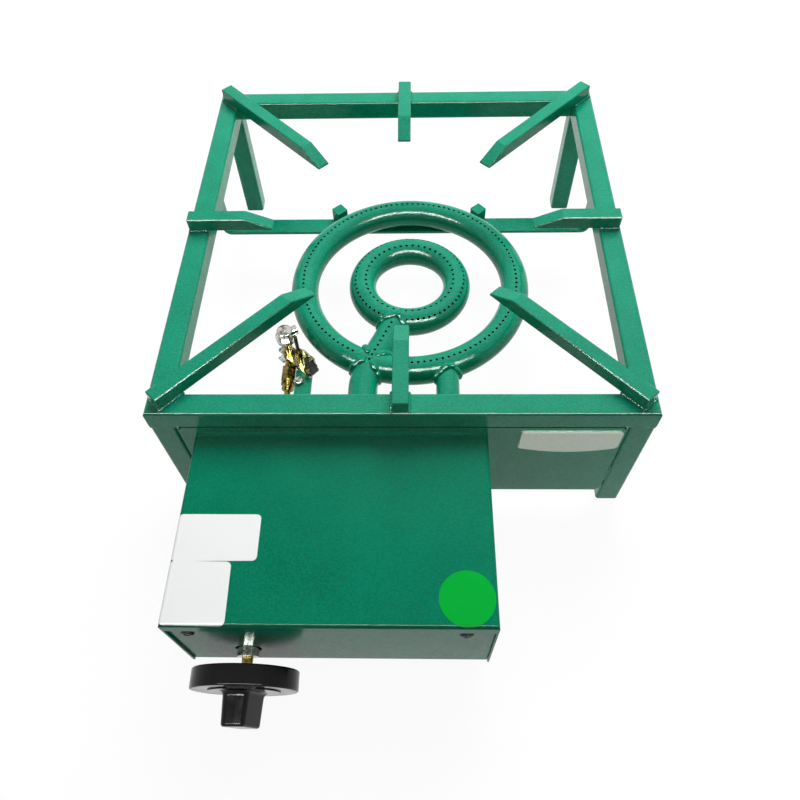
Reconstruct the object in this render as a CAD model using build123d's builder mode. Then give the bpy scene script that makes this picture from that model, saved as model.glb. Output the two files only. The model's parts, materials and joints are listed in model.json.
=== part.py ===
from build123d import *
import os
from math import asin, atan2, cos, degrees, hypot, radians, sin, sqrt

os.makedirs("parts", exist_ok=True)

# A low gas stove for stock pots: a square steel frame with eight pot rests, a double ring
# burner with a pilot, and a control box with the gas valve and its knob at the front.
# +Z is up and the knob points toward -Y. The origin is under the middle of the whole object.

# ---- Square frame
frame_width = 400
frame_depth = 415
frame_height = 150
tube_size = 20
tube_wall = 2
tube_corner = 2.5
foot_height = 4
foot_plug_length = 12
foot_chamfer = 2
plug_gap = 0.1

# ---- Pot rests of square bar
rest_size = 13
rest_tip_thickness = 2
rest_slope_length = 25
bar_edge = 0.7
straight_rest_setback = 1.5
straight_tip_radius = 120.5
diagonal_rest_setback = 11.7
diagonal_tip_radius = 114.5

# ---- Strap that carries the burner, with its two stops
strap_width = 20
strap_thickness = 3
strap_bend = 8.5
strap_depth = 302
ring_seat_gap = 0.05
stop_size = 12.5
stop_height = 14
stop_turn = 40
stop_spread = 76
stop_shift = 4

# ---- Ring burner: all pipes share one height
burner_x = 5.5
burner_depth = 200
burner_z = 75.5
pipe_size = 26.9
pipe_wall = 2.6
outer_ring_radius = 105.6
inner_ring_radius = 47.3
small_pipe_size = 21.3
weld_gap = 0.1
inner_feed_x = -36.6
inner_feed_bend_depth = 85.8
inner_feed_turn = 24.5
inner_feed_bend_radius = 60
outer_feed_x = 41

# ---- Front plate between the front legs
plate_thickness = 3
plate_slot = 1.3
plate_bottom = 20.5
plate_clip = 4
pipe_hole_gap = 0.4

# ---- Control box of folded sheet
box_width = 235
box_depth = 154
box_height = 95
box_bottom = 28
box_x = -48
sheet = 1.5
box_bend = 3
lip_height = 12
panel_gap = 0.2
panel_top_gap = 4
floor_slot_length = 34
floor_slot_width = 4
floor_slot_pitch = 12
floor_slot_rows = 5
floor_slot_columns = 3
tab_width = 16
tab_drop = 31
panel_screw_head = 9.5
panel_screw_height = 2.6
panel_screw_chamfer = 1.6
panel_screw_shank = 5
panel_screw_length = 11
panel_screw_z = 100
panel_screw_left_x = -150.7
panel_screw_right_x = 48.1

# ---- Valve, knob and their drooping axis
valve_x = -115.5
valve_z = 57.2
valve_droop = 5
valve_hole = 20.3
valve_body_width = 30
valve_body_height = 34
valve_body_front = 12
valve_body_back = 70
valve_body_edge = 3
sleeve_size = 16.5
sleeve_reach = 6
sleeve_socket = 8
thread_gap = 0.05
running_gap = 0.08
spindle_size = 8.5
spindle_flat = 1.5
spindle_flat_from = 5
spindle_end = 36
spindle_tail = 30
push_travel = 3
push_rod_size = 6
push_rod_tail = 60
push_end_gap = 0.3
knob_size = 80
knob_rim = 15.5
knob_face = 30.2
knob_wall = 3
knob_edge = 1.2
knob_step_radius = 27
knob_step = 0.8
hub_size = 14
hub_stand = 1
knob_bore_end = 38
grip_width = 21
grip_length = 36
grip_corner = 7
grip_end = 55
grip_taper = 3
grip_turn = 15
grip_root = 4
grip_rounding = 2.2

# ---- Gas line inside the box
inlet_thread_radius = 10.48
inlet_thread_chamfer = 1.5
inlet_groove_radius = 9.6
inlet_groove_width = 1.5
inlet_bore_radius = 8
inlet_depth = 33.6
inlet_reach = 14.5
inlet_wall_gap = 0.4
locknut_flats = 27
locknut_thickness = 6
manifold_size = 17.2
manifold_wall = 2.3
manifold_depth = 60.4
manifold_overrun = 12
holder_size = 18
holder_top = 12
injector_flats = 14
injector_hex_length = 9
injector_neck = 9
injector_disc = 3
injector_tip_length = 11
injector_tip_size = 6
injector_tip_taper = 8
injector_bore = 1.8
feed_start_depth = -58
disc_gap = 0.1

# ---- Air shutters
window_length = 16
window_from_end = 9
window_share = 0.55
shutter_wall = 1.2
shutter_margin = 5
shutter_screw_head = 7
shutter_screw_thickness = 3
shutter_screw_size = 4
shutter_screw_stand = 5

# ---- Pilot burner and thermocouple beside the outer ring
pilot_x = -112
pilot_depth = 129
bracket_turn = -44
bracket_top = 57
bracket_sheet = 1.5
bracket_length = 48
bracket_width = 13
bracket_near = 5.5
bracket_end_reach = 12
bracket_corner = 2
bracket_tab_length = 8
bracket_tab_width = 6
flange_length = 17
flange_height = 13
flange_start = 14
arm_width = 16
arm_thickness = 3
arm_x = -96
arm_end_depth = 110
neck_size = 8.8
neck_gap = 0.1
collar_size = 12.5
collar_height = 3
hood_size = 19
hood_bottom = 80
hood_flange = 5
hood_crown_size = 15
hood_top = 93
hood_rounding = 1.8
hood_wall = 1.2
hood_outlet_size = 9.5
hood_outlet_reach = 12
hood_outlet_turn = 31
hood_outlet_z = 86.5
pilot_inlet_z = 47
elbow_size = 11
elbow_bottom = 40
pilot_nut_flats = 13
pilot_nut_length = 17
pilot_nut_depth = 101
fitting_size = 11.7
fitting_length = 8
fitting_flange = 14
fitting_flange_length = 2.5
pilot_tube_size = 6
pilot_tube_bend = 20
pilot_tube_hole_gap = 1
couple_spacing = 17
couple_body_size = 7.5
couple_body_height = 19
couple_tip_size = 3.5
couple_tip_chamfer = 1
couple_tip_height = 41
couple_nut_size = 9.5
couple_nut_height = 6
couple_bottom = 45
lead_size = 2.6
lead_z = 36
lead_bend = 8
route_turn_depth = -30
end_run = 16
pilot_port_y = -11
lead_port_x = 9.5
lead_port_y = 6
clamp_size = 9
clamp_height = 9
clamp_chamfer = 0.7
clamp_along = 31.5
clamp_aside = 1.5
clamp_screw_head = 6
clamp_screw_thickness = 3
screw_head_size = 9
screw_head_thickness = 4
screw_head_chamfer = 0.7
arm_screw_x = -100
arm_screw_depth = 96

# ---- How far an edge may lie from where it is looked for
pick_margin = 0.01

# ---- Sizes that follow
tube_bore = tube_size - 2 * tube_wall
bore_corner = tube_corner - tube_wall
rail_z = frame_height - tube_size / 2
rail_bottom = frame_height - tube_size
panel_setback = sheet + panel_gap
grip_tip_drop = (grip_length / 2 - grip_rounding) * sin(radians(valve_droop))
grip_tip_reach = (grip_end - grip_rounding) * cos(radians(valve_droop)) + grip_tip_drop + grip_rounding
front_reach = box_depth - panel_setback + grip_tip_reach
frame_front = (front_reach - frame_depth) / 2
frame_back = frame_front + frame_depth
middle_y = (frame_front + frame_back) / 2
burner_y = frame_front + burner_depth
pipe_radius = pipe_size / 2
pipe_bore = pipe_radius - pipe_wall
small_pipe_radius = small_pipe_size / 2
small_pipe_bore = small_pipe_radius - pipe_wall
pilot_y = frame_front + pilot_depth
window_y = frame_front + feed_start_depth + window_from_end + window_length / 2
strap_top = burner_z - pipe_radius - ring_seat_gap
strap_bottom = strap_top - strap_thickness
box_front = frame_front - box_depth
box_top = box_bottom + box_height
box_left = box_x - box_width / 2
panel_front = box_front + panel_setback
panel_back = panel_front + sheet
panel_screw_spots = {"left": panel_screw_left_x, "right": panel_screw_right_x}

# The valve's own plane: its origin on the panel's face, x to the right, y up the panel,
# z out of the panel along the drooping axis of the knob.
valve_plane = Plane(
    origin=(valve_x, panel_front, valve_z),
    x_dir=(1, 0, 0),
    z_dir=(0, -cos(radians(valve_droop)), -sin(radians(valve_droop))),
)
inlet_centre = valve_plane.from_local_coords((0, 0, -inlet_depth))
manifold_centre = valve_plane.from_local_coords((0, 0, -manifold_depth))

# The pilot bracket's plane lies on its top at the pilot's axis: x runs along the bracket
# toward the front, y points to the burner.
bracket_plane = Plane((pilot_x, pilot_y, bracket_top)).rotated((0, 0, bracket_turn))
couple_spot = bracket_plane.from_local_coords((couple_spacing, 0, 0))

# ---- Frame rails: square tube, mitred at the four corners


def make_rail(middle, length):
    """Rail along the x of its plane, with the plane's y pointing into the frame."""
    section = Plane(middle.from_local_coords((-length / 2, 0, 0)), x_dir=middle.y_dir, z_dir=middle.x_dir)
    with BuildPart() as rail:
        with BuildSketch(section):
            RectangleRounded(tube_size, tube_size, tube_corner)
            RectangleRounded(tube_bore, tube_bore, bore_corner, mode=Mode.SUBTRACT)
        extrude(amount=length)
        for end in (-1, 1):
            outer_corner = middle.from_local_coords((end * length / 2, -tube_size / 2, 0))
            split(bisect_by=Plane(outer_corner, z_dir=middle.x_dir * end + middle.y_dir), keep=Keep.BOTTOM)
    return rail.part


rail_inset = tube_size / 2
rail_places = {
    "front": (Plane((0, frame_front + rail_inset, rail_z)), frame_width),
    "back": (Plane((0, frame_back - rail_inset, rail_z), x_dir=(-1, 0, 0)), frame_width),
    "left": (Plane((rail_inset - frame_width / 2, middle_y, rail_z), x_dir=(0, -1, 0)), frame_depth),
    "right": (Plane((frame_width / 2 - rail_inset, middle_y, rail_z), x_dir=(0, 1, 0)), frame_depth),
}
for side, (middle, length) in rail_places.items():
    rail = make_rail(middle, length)
    rail.label = f"rail_{side}"
    export_step(rail, f"parts/rail_{side}.step")

# ---- Legs under the corners, each closed by a foot cap with a plug inside the tube

leg_length = rail_bottom - foot_height
leg_spots = {
    "front_left": (rail_inset - frame_width / 2, frame_front + rail_inset),
    "front_right": (frame_width / 2 - rail_inset, frame_front + rail_inset),
    "back_left": (rail_inset - frame_width / 2, frame_back - rail_inset),
    "back_right": (frame_width / 2 - rail_inset, frame_back - rail_inset),
}
for corner, (x, y) in leg_spots.items():
    with BuildPart() as leg:
        with BuildSketch(Plane((x, y, foot_height))):
            RectangleRounded(tube_size, tube_size, tube_corner)
            RectangleRounded(tube_bore, tube_bore, bore_corner, mode=Mode.SUBTRACT)
        extrude(amount=leg_length)
    leg.part.label = f"leg_{corner}"
    export_step(leg.part, f"parts/leg_{corner}.step")

    with BuildPart() as foot_cap:
        with BuildSketch(Plane((x, y, 0))):
            RectangleRounded(tube_size, tube_size, tube_corner)
        extrude(amount=foot_height)
        chamfer(foot_cap.edges().group_by(Axis.Z)[0], foot_chamfer)
        with BuildSketch(Plane((x, y, foot_height))):
            Rectangle(tube_bore - 2 * plug_gap, tube_bore - 2 * plug_gap)
        extrude(amount=foot_plug_length)
        chamfer(foot_cap.edges().filter_by(Axis.Z).sort_by(Axis.Z)[-4:], bore_corner)
    foot_cap.part.label = f"foot_cap_{corner}"
    export_step(foot_cap.part, f"parts/foot_cap_{corner}.step")

# ---- Pot rests: bars on the rails, their inner ends sloping down to a thin tip


def make_rest(outer_end, length):
    """Bar along the x of its plane, which lies on the rail tops at the bar's outer end."""
    side = Plane(
        outer_end.from_local_coords((0, rest_size / 2, 0)), x_dir=outer_end.x_dir, z_dir=-outer_end.y_dir
    )
    with BuildPart() as rest:
        with BuildSketch(side):
            with BuildLine():
                Polyline(
                    (0, 0),
                    (length, 0),
                    (length, rest_tip_thickness),
                    (length - rest_slope_length, rest_size),
                    (0, rest_size),
                    close=True,
                )
            make_face()
        extrude(amount=rest_size)
        chamfer(rest.edges(), bar_edge)
    return rest.part


diagonal_turn = degrees(atan2(frame_depth, frame_width))
diagonal_reach = hypot(frame_width, frame_depth) / 2 - diagonal_rest_setback
depth_reach = frame_depth / 2 - straight_rest_setback
width_reach = frame_width / 2 - straight_rest_setback
rest_places = {
    "right": (0, width_reach, straight_tip_radius),
    "back_right": (diagonal_turn, diagonal_reach, diagonal_tip_radius),
    "back": (90, depth_reach, straight_tip_radius),
    "back_left": (180 - diagonal_turn, diagonal_reach, diagonal_tip_radius),
    "left": (180, width_reach, straight_tip_radius),
    "front_left": (180 + diagonal_turn, diagonal_reach, diagonal_tip_radius),
    "front": (270, depth_reach, straight_tip_radius),
    "front_right": (360 - diagonal_turn, diagonal_reach, diagonal_tip_radius),
}
for place, (turn, reach, tip_radius) in rest_places.items():
    outward = Vector(cos(radians(turn)), sin(radians(turn)), 0)
    outer_end = Plane(Vector(0, middle_y, frame_height) + outward * reach, x_dir=-outward)
    rest = make_rest(outer_end, reach - tip_radius)
    rest.label = f"pot_rest_{place}"
    export_step(rest, f"parts/pot_rest_{place}.step")

# ---- Strap across the frame that carries the rings, its ends bent up to the side rails

strap_y = frame_front + strap_depth
strap_back = strap_y + strap_width / 2
with BuildPart() as burner_crossbar:
    with BuildSketch(Plane((0, strap_back, strap_bottom), x_dir=(1, 0, 0), z_dir=(0, -1, 0))):
        Rectangle(frame_width, rail_bottom - strap_bottom, align=(Align.CENTER, Align.MIN))
        fillet(vertices().group_by(Axis.Z)[0], strap_bend)
        with Locations((0, strap_thickness)):
            Rectangle(
                frame_width - 2 * strap_thickness,
                rail_bottom - strap_top,
                align=(Align.CENTER, Align.MIN),
                mode=Mode.SUBTRACT,
            )
        inner_corners = [v for v in vertices() if abs(v.Z - strap_top) < pick_margin]
        fillet(inner_corners, strap_bend - strap_thickness)
    extrude(amount=strap_width)
burner_crossbar.part.label = "burner_crossbar"
export_step(burner_crossbar.part, "parts/burner_crossbar.step")

# Two short square bars on the strap's rear edge keep the outer ring from sliding back.
for side, direction in (("left", -1), ("right", 1)):
    stop_x = stop_shift + direction * stop_spread
    stop_turned = Plane((stop_x, strap_back, strap_top)).rotated((0, 0, stop_turn))
    with BuildPart() as burner_stop:
        with BuildSketch(stop_turned):
            Rectangle(stop_size, stop_size)
        extrude(amount=stop_height)
        chamfer(burner_stop.edges().filter_by(Axis.Z), bar_edge)
    burner_stop.part.label = f"burner_stop_{side}"
    export_step(burner_stop.part, f"parts/burner_stop_{side}.step")

# ---- Ring burner: two rings of pipe, each with its own feed tube from the control box

burner_centre = Vector(burner_x, burner_y, burner_z)
burner_axis = Axis(burner_centre, (0, 0, 1))
inner_feed_start = Vector(inner_feed_x, frame_front + feed_start_depth, burner_z)
inner_feed_corner = Vector(inner_feed_x, frame_front + inner_feed_bend_depth, burner_z)
inner_feed_run = Vector(sin(radians(inner_feed_turn)), cos(radians(inner_feed_turn)), 0)
to_centre = burner_centre - inner_feed_corner
aside = to_centre.cross(inner_feed_run).length
inner_feed_run_length = to_centre.dot(inner_feed_run) - sqrt(inner_ring_radius**2 - aside**2)
inner_feed_end = inner_feed_corner + inner_feed_run * inner_feed_run_length
outer_feed_start = Vector(outer_feed_x, frame_front + feed_start_depth, burner_z)
outer_feed_meets = burner_y - outer_ring_radius * cos(asin((outer_feed_x - burner_x) / outer_ring_radius))


def make_torus(ring_radius, section_radius):
    """Solid ring round the burner's axis."""
    with BuildPart() as torus:
        with BuildSketch(Plane(burner_centre, x_dir=(1, 0, 0), z_dir=(0, -1, 0))):
            with Locations((ring_radius, 0)):
                Circle(section_radius)
        revolve(axis=burner_axis)
    return torus.part


def make_inner_feed_rod(section_radius):
    """Solid rod along the bent route of the inner feed tube."""
    with BuildPart() as rod:
        with BuildLine() as route:
            FilletPolyline(
                inner_feed_start, inner_feed_corner, inner_feed_end, radius=inner_feed_bend_radius
            )
        with BuildSketch(Plane(inner_feed_start, z_dir=(0, 1, 0))):
            Circle(section_radius)
        sweep(path=route.line)
    return rod.part


def make_outer_feed_rod(section_radius):
    """Solid rod along the straight outer feed tube, up to the ring's centreline."""
    with BuildPart() as rod:
        with BuildSketch(Plane(outer_feed_start, z_dir=(0, 1, 0))):
            Circle(section_radius)
        extrude(amount=outer_feed_meets - outer_feed_start.Y)
    return rod.part


with BuildPart() as outer_ring:
    add(make_torus(outer_ring_radius, pipe_radius))
    add(make_torus(outer_ring_radius, pipe_bore), mode=Mode.SUBTRACT)
    add(make_inner_feed_rod(pipe_radius + weld_gap), mode=Mode.SUBTRACT)
    add(make_outer_feed_rod(small_pipe_bore), mode=Mode.SUBTRACT)
outer_ring.part.label = "outer_ring"
export_step(outer_ring.part, "parts/outer_ring.step")

with BuildPart() as inner_ring:
    add(make_torus(inner_ring_radius, pipe_radius))
    add(make_torus(inner_ring_radius, pipe_bore), mode=Mode.SUBTRACT)
    add(make_inner_feed_rod(pipe_bore), mode=Mode.SUBTRACT)
inner_ring.part.label = "inner_ring"
export_step(inner_ring.part, "parts/inner_ring.step")

with BuildPart() as inner_feed_tube:
    add(make_inner_feed_rod(pipe_radius))
    add(make_inner_feed_rod(pipe_bore), mode=Mode.SUBTRACT)
    add(make_torus(inner_ring_radius, pipe_radius + weld_gap), mode=Mode.SUBTRACT)
    with Locations((inner_feed_x, window_y, burner_z)):
        Box(pipe_size, window_length, pipe_size * window_share, mode=Mode.SUBTRACT)
inner_feed_tube.part.label = "inner_feed_tube"
export_step(inner_feed_tube.part, "parts/inner_feed_tube.step")

with BuildPart() as outer_feed_tube:
    add(make_outer_feed_rod(small_pipe_radius))
    add(make_outer_feed_rod(small_pipe_bore), mode=Mode.SUBTRACT)
    add(make_torus(outer_ring_radius, pipe_radius + weld_gap), mode=Mode.SUBTRACT)
    with Locations((outer_feed_x, window_y, burner_z)):
        Box(small_pipe_size, window_length, small_pipe_size * window_share, mode=Mode.SUBTRACT)
outer_feed_tube.part.label = "outer_feed_tube"
export_step(outer_feed_tube.part, "parts/outer_feed_tube.step")

# ---- Front plate, flush with the legs, with holes for the gas pipes and the thermocouple lead

plate_width = frame_width - 2 * (tube_size + plate_slot)
with BuildPart() as front_plate:
    with BuildSketch(Plane((0, frame_front, 0), x_dir=(1, 0, 0), z_dir=(0, -1, 0))):
        with Locations((0, plate_bottom)):
            Rectangle(plate_width, rail_bottom - plate_bottom, align=(Align.CENTER, Align.MIN))
        chamfer(vertices().group_by(Axis.Z)[-1], plate_clip)
        with Locations((inner_feed_x, burner_z)):
            Circle(pipe_radius + pipe_hole_gap, mode=Mode.SUBTRACT)
        with Locations((outer_feed_x, burner_z)):
            Circle(small_pipe_radius + pipe_hole_gap, mode=Mode.SUBTRACT)
        with Locations((pilot_x, pilot_inlet_z)):
            Circle(pilot_tube_size / 2 + pilot_tube_hole_gap, mode=Mode.SUBTRACT)
        with Locations((couple_spot.X, lead_z)):
            Circle(lead_size / 2 + pilot_tube_hole_gap, mode=Mode.SUBTRACT)
    extrude(amount=-plate_thickness)
front_plate.part.label = "front_plate"
export_step(front_plate.part, "parts/front_plate.step")

# ---- Control box: folded sheet with rounded bends, a lip over the front panel and two tabs

with BuildPart() as box_body:
    with BuildSketch(Plane((box_x, frame_front, box_bottom), x_dir=(1, 0, 0), z_dir=(0, -1, 0))):
        Rectangle(box_width, box_height, align=(Align.CENTER, Align.MIN))
    extrude(amount=box_depth)
    roof_edges = box_body.faces().sort_by(Axis.Z)[-1].edges()
    fillet(roof_edges.sort_by(Axis.Y)[:-1], box_bend)
    with BuildSketch(Plane((box_x, frame_front, box_bottom), x_dir=(1, 0, 0), z_dir=(0, -1, 0))):
        Rectangle(box_width - 2 * sheet, box_height - box_bend, align=(Align.CENTER, Align.MIN))
    extrude(amount=box_depth - sheet, mode=Mode.SUBTRACT)
    with BuildSketch(Plane((box_x, frame_front, box_top - box_bend), x_dir=(1, 0, 0), z_dir=(0, -1, 0))):
        Rectangle(box_width - 2 * box_bend, box_bend - sheet, align=(Align.CENTER, Align.MIN))
    extrude(amount=box_depth - box_bend, mode=Mode.SUBTRACT)
    with BuildSketch(Plane((box_x, box_front + sheet, box_bottom), x_dir=(1, 0, 0), z_dir=(0, -1, 0))):
        Rectangle(box_width - 2 * sheet, box_height - lip_height, align=(Align.CENTER, Align.MIN))
    extrude(amount=sheet, mode=Mode.SUBTRACT)
    with BuildSketch(Plane(inlet_centre, z_dir=(-1, 0, 0))):
        Circle(small_pipe_radius + inlet_wall_gap)
    extrude(amount=box_width, mode=Mode.SUBTRACT)
    for screw_x in panel_screw_spots.values():
        with BuildSketch(Plane((screw_x, panel_back, box_top - sheet), x_dir=(1, 0, 0), z_dir=(0, 1, 0))):
            Rectangle(tab_width, tab_drop, align=(Align.CENTER, Align.MIN))
            with Locations((0, box_top - sheet - panel_screw_z)):
                Circle(panel_screw_shank / 2 + thread_gap, mode=Mode.SUBTRACT)
        extrude(amount=sheet)
box_body.part.label = "box_body"
export_step(box_body.part, "parts/box_body.step")

# The floor of the box lets the burner's primary air in through rows of slots.
floor_length = frame_front - panel_back
with BuildPart() as box_floor:
    with BuildSketch(Plane((box_x, frame_front, box_bottom))):
        Rectangle(box_width - 2 * sheet, floor_length, align=(Align.CENTER, Align.MAX))
        with Locations((0, -floor_length / 2)):
            with GridLocations(
                floor_slot_length + floor_slot_pitch, floor_slot_pitch, floor_slot_columns, floor_slot_rows
            ):
                Rectangle(floor_slot_length, floor_slot_width, mode=Mode.SUBTRACT)
    extrude(amount=sheet)
box_floor.part.label = "box_floor"
export_step(box_floor.part, "parts/box_floor.step")

panel_width = box_width - 2 * (sheet + panel_gap)
with BuildPart() as front_panel:
    with BuildSketch(Plane((0, panel_front, 0), x_dir=(1, 0, 0), z_dir=(0, -1, 0))):
        with Locations((box_x, box_bottom)):
            Rectangle(panel_width, box_height - panel_top_gap, align=(Align.CENTER, Align.MIN))
        with Locations((valve_x, valve_z)):
            Circle(valve_hole / 2, mode=Mode.SUBTRACT)
        with Locations(*[(screw_x, panel_screw_z) for screw_x in panel_screw_spots.values()]):
            Circle(panel_screw_shank / 2 + panel_gap, mode=Mode.SUBTRACT)
    extrude(amount=-sheet)
front_panel.part.label = "front_panel"
export_step(front_panel.part, "parts/front_panel.step")

for side, screw_x in panel_screw_spots.items():
    with BuildPart() as panel_screw:
        with BuildSketch(Plane((screw_x, panel_front, panel_screw_z), x_dir=(1, 0, 0), z_dir=(0, -1, 0))):
            Circle(panel_screw_head / 2)
        extrude(amount=panel_screw_height)
        chamfer(panel_screw.edges().sort_by(Axis.Y)[0], panel_screw_chamfer)
        with BuildSketch(Plane((screw_x, panel_front, panel_screw_z), x_dir=(1, 0, 0), z_dir=(0, 1, 0))):
            Circle(panel_screw_shank / 2)
        extrude(amount=panel_screw_length)
    panel_screw.part.label = f"panel_screw_{side}"
    export_step(panel_screw.part, f"parts/panel_screw_{side}.step")

# ---- Gas valve behind the panel, with its sleeve, push rod, spindle and knob


def along_valve(height):
    """The valve's plane moved out along the knob's axis."""
    return valve_plane.offset(height)


with BuildPart() as valve_body:
    with BuildSketch(along_valve(-valve_body_back)):
        RectangleRounded(valve_body_width, valve_body_height, valve_body_edge)
    extrude(amount=valve_body_back - valve_body_front)
    with BuildSketch(along_valve(-valve_body_front)):
        Circle(sleeve_size / 2 + thread_gap)
    extrude(amount=-sleeve_socket, mode=Mode.SUBTRACT)
    with BuildSketch(along_valve(-valve_body_front)):
        Circle(spindle_size / 2 + running_gap)
    extrude(amount=-(spindle_tail + push_travel + running_gap - valve_body_front), mode=Mode.SUBTRACT)
    with BuildSketch(along_valve(-spindle_tail)):
        Circle(push_rod_size / 2 + running_gap)
    extrude(amount=-(push_rod_tail + push_travel + push_end_gap - spindle_tail), mode=Mode.SUBTRACT)
valve_body.part.label = "valve_body"
export_step(valve_body.part, "parts/valve_body.step")

with BuildPart() as valve_sleeve:
    with BuildSketch(along_valve(sleeve_reach)):
        Circle(sleeve_size / 2)
        Circle(spindle_size / 2 + running_gap, mode=Mode.SUBTRACT)
    extrude(amount=-(sleeve_reach + valve_body_front + sleeve_socket))
valve_sleeve.part.label = "valve_sleeve"
export_step(valve_sleeve.part, "parts/valve_sleeve.step")

with BuildPart() as valve_push_rod:
    with BuildSketch(along_valve(-spindle_tail - push_end_gap)):
        Circle(push_rod_size / 2)
    extrude(amount=-(push_rod_tail - spindle_tail - push_end_gap))
valve_push_rod.part.label = "valve_push_rod"
export_step(valve_push_rod.part, "parts/valve_push_rod.step")

flat_height = spindle_size / 2 - spindle_flat
with BuildPart() as valve_spindle:
    with BuildSketch(along_valve(-spindle_tail)):
        Circle(spindle_size / 2)
    extrude(amount=spindle_tail + spindle_end)
    with BuildSketch(along_valve(spindle_flat_from)):
        with Locations((0, flat_height)):
            Rectangle(spindle_size, spindle_flat, align=(Align.CENTER, Align.MIN))
    extrude(amount=spindle_end - spindle_flat_from, mode=Mode.SUBTRACT)
valve_spindle.part.label = "valve_spindle"
export_step(valve_spindle.part, "parts/valve_spindle.step")

with BuildPart() as knob:
    with BuildSketch(along_valve(knob_rim)):
        Circle(knob_size / 2)
    extrude(amount=knob_face - knob_rim)
    with BuildSketch(along_valve(knob_rim)):
        Circle(knob_size / 2 - knob_wall)
    extrude(amount=knob_face - knob_rim - knob_wall, mode=Mode.SUBTRACT)
    with BuildSketch(along_valve(knob_face)):
        Circle(knob_step_radius)
    extrude(amount=knob_step)
    with BuildSketch(along_valve(knob_face + knob_step)):
        RectangleRounded(grip_width, grip_length, grip_corner, rotation=grip_turn)
    extrude(amount=grip_end - knob_face - knob_step, taper=grip_taper)
    grip_end_face = knob.faces().sort_by(Axis(valve_plane.origin, valve_plane.z_dir))[-1]
    fillet(grip_end_face.edges(), grip_rounding)
    with BuildSketch(along_valve(knob_rim - hub_stand)):
        Circle(hub_size / 2)
    extrude(amount=knob_face - knob_wall - knob_rim + hub_stand)
    with BuildSketch(along_valve(knob_rim - hub_stand)):
        Circle(spindle_size / 2 + thread_gap)
        with Locations((0, flat_height + thread_gap)):
            Rectangle(hub_size, spindle_size, align=(Align.CENTER, Align.MIN), mode=Mode.SUBTRACT)
    extrude(amount=knob_bore_end - knob_rim + hub_stand, mode=Mode.SUBTRACT)
    skirt_edges = knob.edges().filter_by(GeomType.CIRCLE).group_by(SortBy.RADIUS)[-1]
    fillet(skirt_edges, knob_edge)
    root_height = valve_plane.offset(knob_face + knob_step)
    root_edges = [
        edge
        for edge in knob.edges()
        if abs(root_height.to_local_coords(edge.center()).Z) < pick_margin
        and (edge.geom_type != GeomType.CIRCLE or edge.radius < grip_length / 2)
    ]
    fillet(root_edges, grip_root)
knob.part.label = "knob"
export_step(knob.part, "parts/knob.step")

# ---- Gas line inside the box: inlet, manifold and the two injectors

valve_left = valve_x - valve_body_width / 2
valve_right = valve_x + valve_body_width / 2
inlet_groove_end = box_left - inlet_groove_width
inlet_end = box_left - inlet_reach
with BuildPart() as inlet_pipe:
    with BuildSketch(Plane((valve_left, inlet_centre.Y, inlet_centre.Z), z_dir=(-1, 0, 0))):
        Circle(small_pipe_radius)
    extrude(amount=valve_left - box_left)
    with BuildSketch(Plane((box_left, inlet_centre.Y, inlet_centre.Z), z_dir=(-1, 0, 0))):
        Circle(inlet_groove_radius)
    extrude(amount=inlet_groove_width)
    with BuildSketch(Plane((inlet_groove_end, inlet_centre.Y, inlet_centre.Z), z_dir=(-1, 0, 0))):
        Circle(inlet_thread_radius)
    extrude(amount=inlet_groove_end - inlet_end)
    chamfer(inlet_pipe.edges().group_by(Axis.X)[0], inlet_thread_chamfer)
    with BuildSketch(Plane((valve_left, inlet_centre.Y, inlet_centre.Z), z_dir=(-1, 0, 0))):
        Circle(inlet_bore_radius)
    extrude(amount=valve_left - inlet_end, mode=Mode.SUBTRACT)
inlet_pipe.part.label = "inlet_pipe"
export_step(inlet_pipe.part, "parts/inlet_pipe.step")

with BuildPart() as inlet_locknut:
    with BuildSketch(Plane((box_left + sheet, inlet_centre.Y, inlet_centre.Z), z_dir=(1, 0, 0))):
        RegularPolygon(locknut_flats / 2, 6, major_radius=False)
        Circle(small_pipe_radius + thread_gap, mode=Mode.SUBTRACT)
    extrude(amount=locknut_thickness)
inlet_locknut.part.label = "inlet_locknut"
export_step(inlet_locknut.part, "parts/inlet_locknut.step")

manifold_end = outer_feed_x + holder_size / 2 + manifold_overrun
with BuildPart() as manifold_pipe:
    with BuildSketch(Plane((valve_right, manifold_centre.Y, manifold_centre.Z), z_dir=(1, 0, 0))):
        Circle(manifold_size / 2)
    extrude(amount=manifold_end - valve_right)
    for feed_x in (inner_feed_x, outer_feed_x):
        with BuildSketch(Plane((feed_x, manifold_centre.Y, manifold_centre.Z - manifold_size / 2))):
            RectangleRounded(holder_size, holder_size, tube_corner)
        extrude(amount=burner_z + holder_top - manifold_centre.Z + manifold_size / 2)
    with BuildSketch(Plane((valve_right, manifold_centre.Y, manifold_centre.Z), z_dir=(1, 0, 0))):
        Circle(manifold_size / 2 - manifold_wall)
    extrude(amount=manifold_end - valve_right - manifold_wall, mode=Mode.SUBTRACT)
manifold_pipe.part.label = "manifold_pipe"
export_step(manifold_pipe.part, "parts/manifold_pipe.step")

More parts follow.
